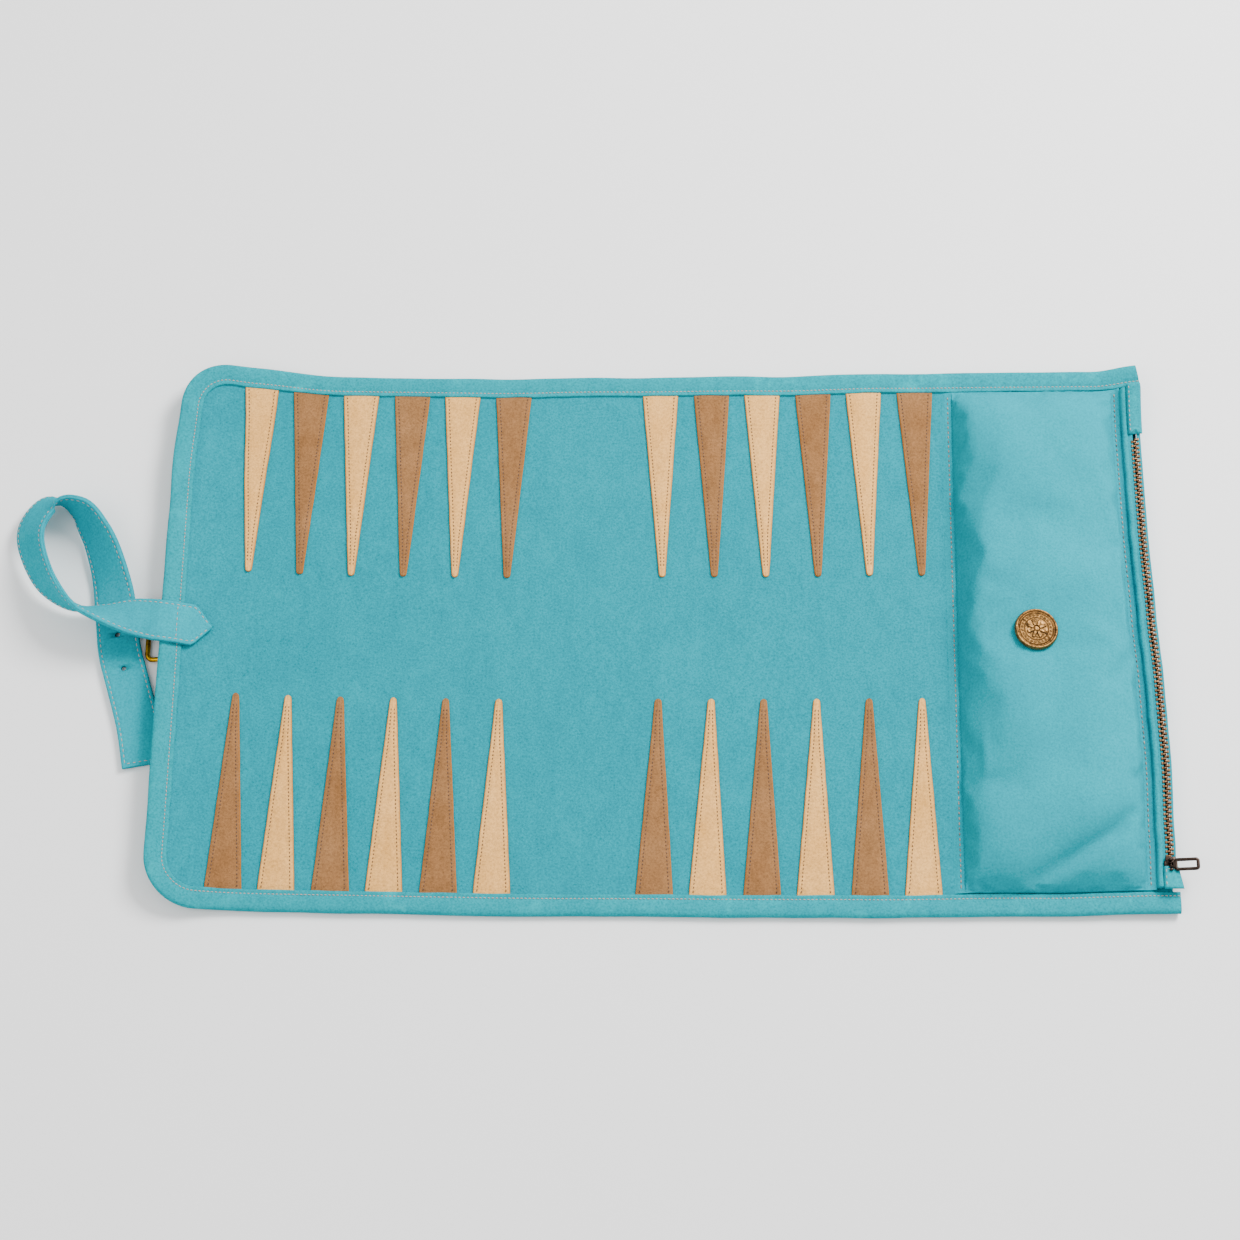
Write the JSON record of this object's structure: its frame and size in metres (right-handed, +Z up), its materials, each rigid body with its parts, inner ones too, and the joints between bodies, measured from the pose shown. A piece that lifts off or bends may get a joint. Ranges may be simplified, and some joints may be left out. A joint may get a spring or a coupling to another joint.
{
  "type": "roll-up backgammon set",
  "caption": "Suede roll-up backgammon mat with sewn points, a filled zipped pocket at one end, a round medallion, and a looped strap with a buckle at the other end.",
  "frame": {"origin": "centre of the mat's underside, on the table", "axes": "+X along the mat's length from the strap end towards the zip end; +Z up, away from the table; +Y across the mat"},
  "size_m": [0.6456, 0.318, 0.0289],
  "materials": {
    "suede_turquoise": "suede nap",
    "suede_sand": "suede nap",
    "suede_brown": "suede nap",
    "zip_tape": "woven tape",
    "brass": "antique, worn",
    "checker_light": "polished",
    "checker_dark": "polished",
    "dice_white": "polished"
  },
  "bodies": {
    "mat_centre": {"panel_centre": "suede_turquoise", "point_t07": "suede_sand", "point_b07": "suede_brown", "point_t08": "suede_brown", "point_b08": "suede_sand", "point_t09": "suede_sand", "point_b09": "suede_brown", "point_t10": "suede_brown", "point_b10": "suede_sand"},
    "fold_strip_11": {"panel_11": "suede_turquoise", "point_t11": "suede_sand", "point_b11": "suede_brown"},
    "pocket": {"panel_pocket": "suede_turquoise", "point_t12": "suede_brown", "point_b12": "suede_sand", "pocket_front": "suede_turquoise", "pocket_lip": "suede_turquoise", "zip_tape_front": "zip_tape", "zip_tape_back": "zip_tape", "zip_teeth_front": "brass", "zip_teeth_back": "brass", "zip_tabs": "suede_turquoise", "medallion": "brass", "medallion_washer": "brass", "checkers_light": "checker_light", "checkers_dark": "checker_dark", "dice": "dice_white", "doubling_cube": "dice_white"},
    "zip_slider": {"zip_slider": "brass"},
    "zip_pull": {"zip_pull": "brass"},
    "fold_strip_06": {"panel_06": "suede_turquoise", "point_t06": "suede_brown", "point_b06": "suede_sand"},
    "fold_strip_05": {"panel_05": "suede_turquoise", "point_t05": "suede_sand", "point_b05": "suede_brown"},
    "strap_half": {"panel_left": "suede_turquoise", "panel_01": "suede_turquoise", "panel_end": "suede_turquoise", "point_t01": "suede_sand", "point_b01": "suede_brown", "point_t02": "suede_brown", "point_b02": "suede_sand", "point_t03": "suede_sand", "point_b03": "suede_brown", "point_t04": "suede_brown", "point_b04": "suede_sand", "strap_anchor": "suede_turquoise", "buckle_tab": "suede_turquoise"},
    "strap": {"strap_loop": "suede_turquoise"},
    "buckle_frame": {"buckle_frame": "brass"},
    "buckle_prong": {"buckle_prong": "brass"}
  },
  "joints": [
    {"name": "fold_11", "type": "hinge", "parent": "mat_centre", "child": "fold_strip_11", "pos_m": [0.0998, 0, 0.0036], "axis": [0, -1, 0], "range_deg": [0, 90]},
    {"name": "fold_12", "type": "hinge", "parent": "fold_strip_11", "child": "pocket", "pos_m": [0.1286, 0, 0.0036], "axis": [0, -1, 0], "range_deg": [0, 90]},
    {"name": "fold_06", "type": "hinge", "parent": "mat_centre", "child": "fold_strip_06", "pos_m": [-0.072, 0, 0.0036], "axis": [0, 1, 0], "range_deg": [0, 57]},
    {"name": "fold_05", "type": "hinge", "parent": "fold_strip_06", "child": "fold_strip_05", "pos_m": [-0.1008, 0, 0.0036], "axis": [0, 1, 0], "range_deg": [0, 57]},
    {"name": "fold_04", "type": "hinge", "parent": "fold_strip_05", "child": "strap_half", "pos_m": [-0.1296, 0, 0.0036], "axis": [0, 1, 0], "range_deg": [0, 57]},
    {"name": "strap_root", "type": "hinge", "parent": "strap_half", "child": "strap", "pos_m": [-0.27355, 0, 0.01642], "axis": [0, -1, 0], "range_deg": [-60, 0]},
    {"name": "buckle_swing", "type": "hinge", "parent": "strap_half", "child": "buckle_frame", "pos_m": [-0.26586, 0, 0.00469], "axis": [0, 1, 0], "range_deg": [-60, 22]},
    {"name": "prong_swing", "type": "hinge", "parent": "buckle_frame", "child": "buckle_prong", "pos_m": [-0.26586, 0, 0.00469], "axis": [0, -1, 0], "range_deg": [-20, 0]},
    {"name": "zip_slide", "type": "slide", "parent": "pocket", "child": "zip_slider", "axis": [-0.0236, 0.9997, 0], "range_m": [0, 0.234]},
    {"name": "pull_swing", "type": "hinge", "parent": "zip_slider", "child": "zip_pull", "pos_m": [0.2722, -0.12737, 0.011], "axis": [0.0236, -0.9997, 0], "range_deg": [0, 125]}
  ],
  "couplings": [
    {"joint": "fold_12", "follows": "fold_11", "ratio": 1},
    {"joint": "fold_05", "follows": "fold_06", "ratio": 1},
    {"joint": "fold_04", "follows": "fold_06", "ratio": 1}
  ]
}
